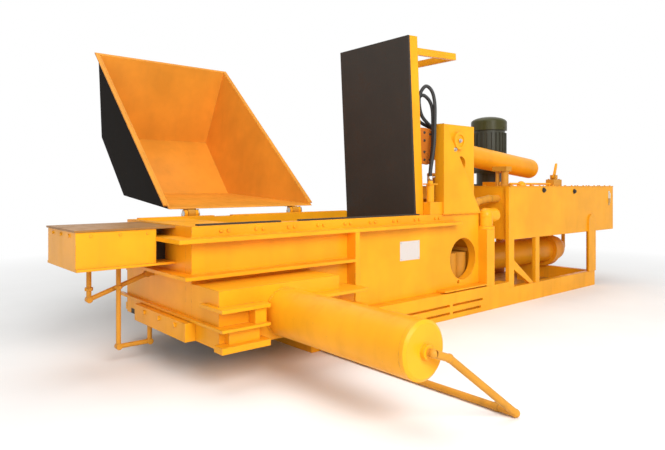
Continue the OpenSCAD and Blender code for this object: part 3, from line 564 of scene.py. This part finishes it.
def weld_beads(name, lines, radius, spacing, body, material, seed):
    """Rows of small overlapping beads along straight seams."""
    verts = []
    for start, end in lines:
        a, b = Vector(start), Vector(end)
        count = max(2, int((b - a).length / spacing))
        verts += [a.lerp(b, i / count) for i in range(count + 1)]
    sizes = {
        "Bead Radius": ("NodeSocketFloat", radius),
        "Seed": ("NodeSocketInt", seed),
    }
    tree = Tree(name + "_tree", sizes)
    bead = tree.add("GeometryNodeMeshIcoSphere", Radius=tree.size("Bead Radius"), Subdivisions=2)
    swell = tree.add("FunctionNodeRandomValue", {"data_type": "FLOAT"})
    swell.inputs[2].default_value, swell.inputs[3].default_value = BEAD_SWELL
    tree.group.links.new(tree.size("Seed"), swell.inputs["Seed"])
    rows = tree.add("GeometryNodeInstanceOnPoints", Points=tree.source.outputs["Geometry"],
                    Instance=bead.outputs["Mesh"])
    tree.group.links.new(swell.outputs[1], rows.inputs["Scale"])
    tree.finish(rows.outputs[0], material)
    obj = evaluate(mesh_object(name, verts), tree, sizes)
    obj.data.polygons.foreach_set("use_smooth", [True] * len(obj.data.polygons))
    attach(obj, body)
    return obj


def ring_seams(centre, radius, parts=36):
    """Short seams round a circle that lies across Y."""
    turn = [2 * math.pi * i / parts for i in range(parts + 1)]
    ring = [(centre[0] + radius * math.cos(a), centre[1], centre[2] + radius * math.sin(a))
            for a in turn]
    return list(zip(ring, ring[1:]))


def plate_piece(bm, name, bevel, segments, body, material):
    """Rounds the edges of a bmesh and makes it a piece on a body."""
    bmesh.ops.bevel(bm, geom=bm.edges[:], offset=bevel, segments=segments, affect="EDGES",
                    profile=0.5)
    bmesh.ops.recalc_face_normals(bm, faces=bm.faces[:])
    obj = mesh_object(name, [])
    bm.to_mesh(obj.data)
    bm.free()
    obj.data.materials.append(material)
    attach(obj, body)
    return obj


def rounded_box(name, low, high, bevel, body, material):
    """A small plate or block with rounded edges."""
    low, high = Vector(low), Vector(high)
    bm = bmesh.new()
    place = Matrix.Translation((low + high) / 2) @ Matrix.Diagonal((*(high - low), 1.0))
    bmesh.ops.create_cube(bm, size=1.0, matrix=place)
    return plate_piece(bm, name, bevel, 3, body, material)


def cut_plates(name, outline, sides, bevel, body, material):
    """Flat plates of one outline in X and Z, one for each pair of Y values."""
    bm = bmesh.new()
    for pair in sides:
        near, far = ([bm.verts.new((x, y, z)) for x, z in outline] for y in pair)
        bm.faces.new(near)
        bm.faces.new(far[::-1])
        for i in range(len(outline)):
            bm.faces.new((near[i], near[i - 1], far[i - 1], far[i]))
    bm.normal_update()
    return plate_piece(bm, name, bevel, 2, body, material)


def curve_points(route, steps):
    """Smooth points through a route, as the CAD hose follows it."""
    out = []
    last = len(route) - 1
    for i in range(last):
        a, b = Vector(route[max(i - 1, 0)]), Vector(route[i])
        c, d = Vector(route[i + 1]), Vector(route[min(i + 2, last)])
        for k in range(steps):
            t = k / steps
            out.append(0.5 * (2 * b + (c - a) * t + (2 * a - 5 * b + 4 * c - d) * t * t
                              + (3 * b - a - 3 * c + d) * t ** 3))
    out.append(Vector(route[last]))
    return out


def tube(name, points, radius, sides, material):
    """A round tube along points, closed at both ends."""
    verts, faces = [], []
    last = len(points) - 1
    turn = [2 * math.pi * j / sides for j in range(sides)]
    for i, p in enumerate(points):
        ahead = points[min(i + 1, last)] - points[max(i - 1, 0)]
        ahead.normalize()
        u = ahead.cross(Vector((0, 1, 0))).normalized()
        v = ahead.cross(u)
        verts += [p + radius * (math.cos(a) * u + math.sin(a) * v) for a in turn]
    for i in range(last):
        for j in range(sides):
            a, b = i * sides + j, i * sides + (j + 1) % sides
            faces.append((a, b, b + sides, a + sides))
    faces.append(tuple(range(sides)))
    faces.append(tuple(last * sides + j for j in range(sides)))
    obj = mesh_object(name, verts, faces)
    bm = bmesh.new()
    bm.from_mesh(obj.data)
    bmesh.ops.recalc_face_normals(bm, faces=bm.faces[:])
    bm.to_mesh(obj.data)
    bm.free()
    obj.data.polygons.foreach_set("use_smooth", [len(f) == 4 for f in faces])
    obj.data.materials.append(material)
    return obj


def paint_nodes(names, material):
    for name in names:
        slots = NODES[name].data.materials
        slots.clear()
        slots.append(material)


# Settings

class BalerColours(bpy.types.PropertyGroup):
    """Colours of the press."""

    yellow: bpy.props.FloatVectorProperty(
        name="Body enamel", description="Main yellow of the press", subtype="COLOR",
        size=3, min=0.0, max=1.0, default=(0.90, 0.378, 0.010))
    hopper: bpy.props.FloatVectorProperty(
        name="Hopper enamel", description="Slightly redder yellow of the hopper", subtype="COLOR",
        size=3, min=0.0, max=1.0, default=(0.76, 0.295, 0.030))
    ochre: bpy.props.FloatVectorProperty(
        name="Worn enamel", description="Ochre of pipes, covers and lugs", subtype="COLOR",
        size=3, min=0.0, max=1.0, default=(0.62, 0.27, 0.025))
    # Near-black colour on the hopper's outer faces
    hopper_back: bpy.props.FloatVectorProperty(
        name="Hopper outside", description="Dark primer on the hopper's outer faces",
        subtype="COLOR", size=3, min=0.0, max=1.0, default=(0.016, 0.0135, 0.012))
    # Red orange of the lid's lever and side plates: painted shade, the darker tone of the yellow
    # enamel on faces turned from the light
    lever: bpy.props.FloatVectorProperty(
        name="Lever enamel", description="Red orange of plates on the lid's back", subtype="COLOR",
        size=3, min=0.0, max=1.0, default=(0.55, 0.15, 0.016))
    # Brownish colour of the lock cover, darker than the body yellow
    cover: bpy.props.FloatVectorProperty(
        name="Lock cover", description="Brownish enamel of the lock cover", subtype="COLOR",
        size=3, min=0.0, max=1.0, default=(0.34, 0.16, 0.04))
    olive: bpy.props.FloatVectorProperty(
        name="Motor enamel", description="Dark olive of the motor body", subtype="COLOR",
        size=3, min=0.0, max=1.0, default=(0.056, 0.057, 0.040))
    cowl: bpy.props.FloatVectorProperty(
        name="Cowl enamel", description="Lighter olive of the fan cowl", subtype="COLOR",
        size=3, min=0.0, max=1.0, default=(0.050, 0.048, 0.013))
    scale: bpy.props.FloatVectorProperty(
        name="Plate steel", description="Dark plate steel of rams, gate and blades",
        subtype="COLOR", size=3, min=0.0, max=1.0, default=(0.052, 0.043, 0.035))
    wear: bpy.props.FloatVectorProperty(
        name="Wear plate", description="Even dark brown of the lid's wear plate", subtype="COLOR",
        size=3, min=0.0, max=1.0, default=(0.040, 0.033, 0.027))
    bright: bpy.props.FloatVectorProperty(
        name="Ground steel", description="Rods and pins", subtype="COLOR",
        size=3, min=0.0, max=1.0, default=(0.60, 0.60, 0.58))
    floor: bpy.props.FloatVectorProperty(
        name="Floor", description="Plain pale floor", subtype="COLOR",
        size=3, min=0.0, max=1.0, default=(0.88, 0.88, 0.87))


class BalerSizes(bpy.types.PropertyGroup):
    """Sizes of the small pieces."""

    hose_diameter: bpy.props.FloatProperty(
        name="Hose diameter", description="Outside diameter of the lid hoses", unit="LENGTH",
        default=0.04)
    bead_radius: bpy.props.FloatProperty(
        name="Bead radius", description="Radius of a weld bead", unit="LENGTH",
        default=0.009)
    bead_spacing: bpy.props.FloatProperty(
        name="Bead spacing", description="Distance between weld beads", unit="LENGTH",
        default=0.016)
    screw_radius: bpy.props.FloatProperty(
        name="Screw radius", description="Radius of the tank cover's screw heads", unit="LENGTH",
        default=0.011)
    plate_edge: bpy.props.FloatProperty(
        name="Plate edge", description="Rounding of painted plate edges", unit="LENGTH",
        default=0.008)


MATERIALS = {}


def colours():
    return bpy.context.scene.baler_colours


def sizes_of():
    return bpy.context.scene.baler_sizes


# Operators

class BALER_OT_stage(bpy.types.Operator):
    """Camera at the photograph's place, pale floor, soft studio light"""

    bl_idname = "baler.stage"
    bl_label = "Stage"

    def execute(self, context):
        scene = context.scene
        scene.view_settings.view_transform = "Standard"
        eye = bpy.data.cameras.new("eye")
        eye.lens = LENS
        eye.sensor_width = SENSOR
        eye.shift_y = SHIFT_Y
        eye.clip_end = SIGHT_END
        camera = bpy.data.objects.new("eye", eye)
        camera.location = EYE_PLACE
        camera.rotation_euler = (math.pi / 2, 0.0, math.radians(EYE_HEADING))
        scene.collection.objects.link(camera)
        scene.camera = camera

        corners = [(FLOOR_HALF * x, FLOOR_HALF * y, 0)
                   for x, y in ((-1, -1), (1, -1), (1, 1), (-1, 1))]
        ground = mesh_object("ground", corners, [(0, 1, 2, 3)])
        material, tree, shader = new_material("pale_floor")
        cloud = noise(tree, object_place(tree), 0.8, 3.0)
        base = tuple(colours().floor)
        tone = mix(tree, ramp(tree, cloud, 0.4, 0.7), base, tuple(c * 0.96 for c in base))
        link(tree, tone, shader, "Base Color")
        shader.inputs["Roughness"].default_value = 0.8
        reach = make_node(tree, "ShaderNodeVectorMath", {"operation": "DISTANCE"}, out="Value",
                          i0=object_place(tree), i1=SHADE_MIDDLE)
        far = ramp(tree, reach, *SHADE_END) * sight(tree)
        glow = tree.nodes.new("ShaderNodeEmission")
        glow.inputs["Color"].default_value = WHITE
        blend = tree.nodes.new("ShaderNodeMixShader")
        tree.links.new(far.socket, blend.inputs[0])
        tree.links.new(shader.outputs[0], blend.inputs[1])
        tree.links.new(glow.outputs[0], blend.inputs[2])
        sheet = next(n for n in tree.nodes if n.type == "OUTPUT_MATERIAL")
        tree.links.new(blend.outputs[0], sheet.inputs[0])
        ground.data.materials.append(material)

        for name, place, aim, size, power in LAMPS:
            lamp = bpy.data.lights.new(name, "AREA")
            lamp.shape = "DISK"
            lamp.size = size
            lamp.energy = power
            obj = bpy.data.objects.new(name, lamp)
            obj.location = place
            sight_line = Vector(aim) - Vector(place)
            obj.rotation_euler = sight_line.to_track_quat("-Z", "Y").to_euler()
            scene.collection.objects.link(obj)

        world = bpy.data.worlds.new("studio")
        scene.world = world
        world.use_nodes = True
        tree = world.node_tree
        tree.nodes.clear()
        strength = sight(tree) * (1.0 - WORLD_LIGHT) + WORLD_LIGHT
        back = tree.nodes.new("ShaderNodeBackground")
        back.inputs["Color"].default_value = WHITE
        tree.links.new(strength.socket, back.inputs["Strength"])
        out = tree.nodes.new("ShaderNodeOutputWorld")
        tree.links.new(back.outputs[0], out.inputs[0])
        return {"FINISHED"}


class BALER_OT_finishes(bpy.types.Operator):
    """Enamel, plate steel, ground steel and plastic on every CAD piece"""

    bl_idname = "baler.finishes"
    bl_label = "Finishes"

    def execute(self, context):
        tone = {name: tuple(getattr(colours(), name)) for name in BalerColours.__annotations__}
        edge = sizes_of().plate_edge
        MATERIALS.update(
            yellow=enamel("yellow_enamel", tone["yellow"], GRIME, CHIP, 0.32, edge, 0.22),
            hopper=enamel("hopper_enamel", tone["hopper"], GRIME, CHIP, 0.42, edge, 0.20,
                          (hopper_outside, tone["hopper_back"]), 0.06),
            blade=enamel("blade_enamel", tone["yellow"], GRIME, CHIP, 0.36, edge * 0.4, 0.30,
                         (near_side, tone["scale"])),
            ochre=enamel("ochre_enamel", tone["ochre"], GRIME, CHIP, 0.42, edge * 0.6, 0.45),
            cover=enamel("cover_enamel", tone["cover"], GRIME, CHIP, 0.40, edge * 0.6, 0.6),
            olive=enamel("olive_enamel", tone["olive"], MOTOR_GRIME, MOTOR_CHIP, 0.34,
                         edge * 0.5, 0.30),
            cowl=enamel("cowl_enamel", tone["cowl"], MOTOR_GRIME, MOTOR_CHIP, 0.30,
                        edge * 0.5, 0.30),
            scale=scale_steel("plate_steel", tone["scale"], (0.16, 0.065, 0.025),
                              (0.32, 0.30, 0.28)),
            wear=scale_steel("wear_plate_steel", tone["wear"], (0.10, 0.05, 0.025),
                             (0.16, 0.14, 0.12), 0.35),
            # Lever enamel: the yellow's painted shade, as red orange
            lever=enamel("lever_shade_enamel", tone["lever"], GRIME, CHIP, 0.40, edge * 0.5, 0.40),
            bright=ground_steel("ground_steel", tone["bright"]),
            rubber=rubber("hose_rubber", (0.012, 0.012, 0.012)),
            gauge=clear_plastic("gauge_plastic", (0.62, 0.60, 0.52)),
            plate=blank_plate("blank_plate", (0.62, 0.58, 0.55)),
        )
        for finish, names in FINISHED_NODES.items():
            paint_nodes(names, MATERIALS[finish])
        return {"FINISHED"}


class BALER_OT_hoses(bpy.types.Operator):
    """The two black hoses of the lid cylinder, with crimped ends"""

    bl_idname = "baler.hoses"
    bl_label = "Hoses"

    def execute(self, context):
        diameter = sizes_of().hose_diameter
        for name, route in HOSE_ROUTES.items():
            points = curve_points(route, HOSE_STEPS)
            hose = tube(name + "_rubber", points, diameter / 2, HOSE_SIDES, MATERIALS["rubber"])
            length = sum((b - a).length for a, b in zip(points, points[1:]))
            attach(hose, "frame")
            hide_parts(name)
            for end, inner in ((points[0], points[4]), (points[-1], points[-5])):
                along = (inner - end).normalized()
                ferrule = tube(name + "_ferrule", [end, end + along * FERRULE_LENGTH],
                               diameter * FERRULE_SWELL, HOSE_SIDES, MATERIALS["bright"])
                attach(ferrule, "frame")
        return {"FINISHED"}


class BALER_OT_welds(bpy.types.Operator):
    """Weld beads where flanges, ribs, uprights and ears meet the box"""

    bl_idname = "baler.welds"
    bl_label = "Weld beads"

    def execute(self, context):
        size = sizes_of()
        wall_low, wall_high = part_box("near_wall")
        ring_low, ring_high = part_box("upper_ring")
        ear_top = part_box("side_housing")[1][2]
        y = wall_low[1]
        x0, top = wall_low[0], wall_high[2]
        flange_low, flange_high = 0.770, 0.800
        rib_back, rib_front, rib_low, rib_high = -0.06, 0.0, 0.30, 1.05
        ear_end = -0.54
        upright_x0, upright_x1, upright_y = 1.395, 2.09, y - 0.03
        gusset_high, gusset_low = (1.66, y, 1.880), (2.0, y, 1.340)
        lines = [
            ((x0, y, ring_low[2]), (ring_high[0], y, ring_low[2])),
            ((x0, y, ring_high[2]), (ring_high[0], y, ring_high[2])),
            ((x0, y, flange_low), (rib_back, y, flange_low)),
            ((x0, y, flange_high), (rib_back, y, flange_high)),
            ((rib_front, y, rib_low), (rib_front, y, rib_high)),
            ((x0, y, ear_top), (ear_end, y, ear_top)),
            ((upright_x0, upright_y, top), (upright_x1, upright_y, top)),
            (gusset_high, gusset_low),
        ]
        low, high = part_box("side_barrel")
        inset, proud = 0.004, 0.002
        middle = ((low[0] + high[0]) / 2, high[1] - inset, (low[2] + high[2]) / 2)
        lines += ring_seams(middle, (high[0] - low[0]) / 2 + proud)
        weld_beads("box_welds", lines, size.bead_radius, size.bead_spacing, "frame",
                   MATERIALS["yellow"], 7)
        return {"FINISHED"}


class BALER_OT_screws(bpy.types.Operator):
    """Screw heads round the tank cover"""

    bl_idname = "baler.screws"
    bl_label = "Cover screws"

    def execute(self, context):
        low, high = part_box("tank_shell")
        cover_t, end_inset, side_inset = 0.012, 0.05, 0.03
        along_count, across_count = 16, 8
        z = high[2] + cover_t
        x0, x1 = low[0] + end_inset, high[0] - end_inset
        y0, y1 = low[1] + side_inset, high[1] - side_inset
        spots = []
        for i in range(along_count + 1):
            x = x0 + (x1 - x0) * i / along_count
            spots += [(x, y0, z), (x, y1, z)]
        for i in range(1, across_count):
            y = y0 + (y1 - y0) * i / across_count
            spots += [(x0, y, z), (x1, y, z)]
        bolt_heads("tank_cover_screws", [(spot, (0, 0, 1)) for spot in spots],
                   sizes_of().screw_radius, 0.010, "frame", MATERIALS["yellow"])
        return {"FINISHED"}


class BALER_OT_side_levers(bpy.types.Operator):
    """Wavy red orange plates at the two edges of the lid's back; the red orange is painted shade
    of the body yellow
    """

    bl_idname = "baler.side_levers"
    bl_label = "Lid side plates"

    def execute(self, context):
        near = (-SIDE_PLATE_OUTER, -SIDE_PLATE_INNER)
        far = (SIDE_PLATE_INNER, SIDE_PLATE_OUTER)
        cut_plates("lid_side_plates", SIDE_PLATE, [near, far], 0.004, "lid",
                   MATERIALS["lever"])
        y = SIDE_PLATE_OUTER + 0.0005
        places = [((x, side * y, z), (0, side, 0))
                  for side in (-1, 1) for x, z in SIDE_PLATE_BOLTS]
        bolt_heads("side_plate_bolts", places, 0.012, 0.010, "lid",
                   MATERIALS["scale"])
        return {"FINISHED"}


class BALER_OT_lever_bolts(bpy.types.Operator):
    """Bolts on the lid's lever plates, screws on the motor cowl, grease points on the bearings"""

    bl_idname = "baler.lever_bolts"
    bl_label = "Lever and cowl bolts"

    def execute(self, context):
        along_lid = Vector((-math.sin(LID_LEAN), 0.0, math.cos(LID_LEAN)))
        behind_lid = Vector((math.cos(LID_LEAN), 0.0, math.sin(LID_LEAN)))
        count, first, spacing, out, face = 5, 0.925, 0.115, 0.035, 0.151
        places = []
        for side in (-1, 1):
            for step in range(count):
                spot = (Vector(LID_HINGE) + behind_lid * out + along_lid * (first + step * spacing)
                        + Vector((0.0, side * face, 0.0)))
                places.append((spot, (0, side, 0)))
        bolt_heads("lever_bolts", places, 0.017, 0.016, "lid", MATERIALS["scale"])

        low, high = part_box("motor_cowl")
        count, first, lift = 6, 30, 0.035
        centre = Vector(((low[0] + high[0]) / 2, (low[1] + high[1]) / 2, low[2] + lift))
        radius = (high[0] - low[0]) / 2
        turn = [math.radians(first + 360 / count * i) for i in range(count)]
        outward = [Vector((math.cos(a), math.sin(a), 0)) for a in turn]
        places = [(centre + radius * way, way) for way in outward]
        bolt_heads("cowl_screws", places, 0.010, 0.008, "frame", MATERIALS["cowl"])

        places = [((x, side * y, z), (0, side, 0))
                  for side in (-1, 1) for x, y, z in GREASE_POINTS]
        bolt_heads("grease_points", places, 0.018, 0.016, "frame",
                   MATERIALS["bright"])
        return {"FINISHED"}


class BALER_OT_nameplate(bpy.types.Operator):
    """The bare white plate on the near wall, with its corner screws"""

    bl_idname = "baler.nameplate"
    bl_label = "Bare plate"

    def execute(self, context):
        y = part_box("near_wall")[0][1]
        (x0, x1), (z0, z1) = BARE_PLATE_X, BARE_PLATE_Z
        thickness, inset = 0.003, 0.014
        rounded_box("bare_plate", (x0, y - thickness, z0), (x1, y, z1), 0.0012, "frame",
                    MATERIALS["plate"])
        places = [((x, y - thickness - 0.0005, z), (0, -1, 0))
                  for x in (x0 + inset, x1 - inset) for z in (z0 + inset, z1 - inset)]
        bolt_heads("bare_plate_screws", places, 0.005, 0.004, "frame",
                   MATERIALS["bright"])
        return {"FINISHED"}


class BALER_PT_panel(bpy.types.Panel):
    """Lists the steps that dress the press"""

    bl_idname = "BALER_PT_panel"
    bl_label = "Baling press"
    bl_space_type = "VIEW_3D"
    bl_region_type = "UI"
    bl_category = "Baling press"

    def draw(self, context):
        for operator in STEPS:
            self.layout.operator(operator.bl_idname)


STEPS = (
    BALER_OT_stage, BALER_OT_finishes, BALER_OT_hoses, BALER_OT_welds, BALER_OT_screws,
    BALER_OT_side_levers, BALER_OT_lever_bolts, BALER_OT_nameplate,
)
CLASSES = (BalerColours, BalerSizes, *STEPS, BALER_PT_panel)


def register():
    for cls in CLASSES:
        bpy.utils.register_class(cls)
    bpy.types.Scene.baler_colours = bpy.props.PointerProperty(type=BalerColours)
    bpy.types.Scene.baler_sizes = bpy.props.PointerProperty(type=BalerSizes)


def unregister():
    del bpy.types.Scene.baler_sizes
    del bpy.types.Scene.baler_colours
    for cls in reversed(CLASSES):
        bpy.utils.unregister_class(cls)


def main():
    register()
    bpy.ops.baler.stage()
    bpy.ops.baler.finishes()
    bpy.ops.baler.hoses()
    bpy.ops.baler.welds()
    bpy.ops.baler.screws()
    bpy.ops.baler.side_levers()
    bpy.ops.baler.lever_bolts()
    bpy.ops.baler.nameplate()


if __name__ == "__main__":
    main()
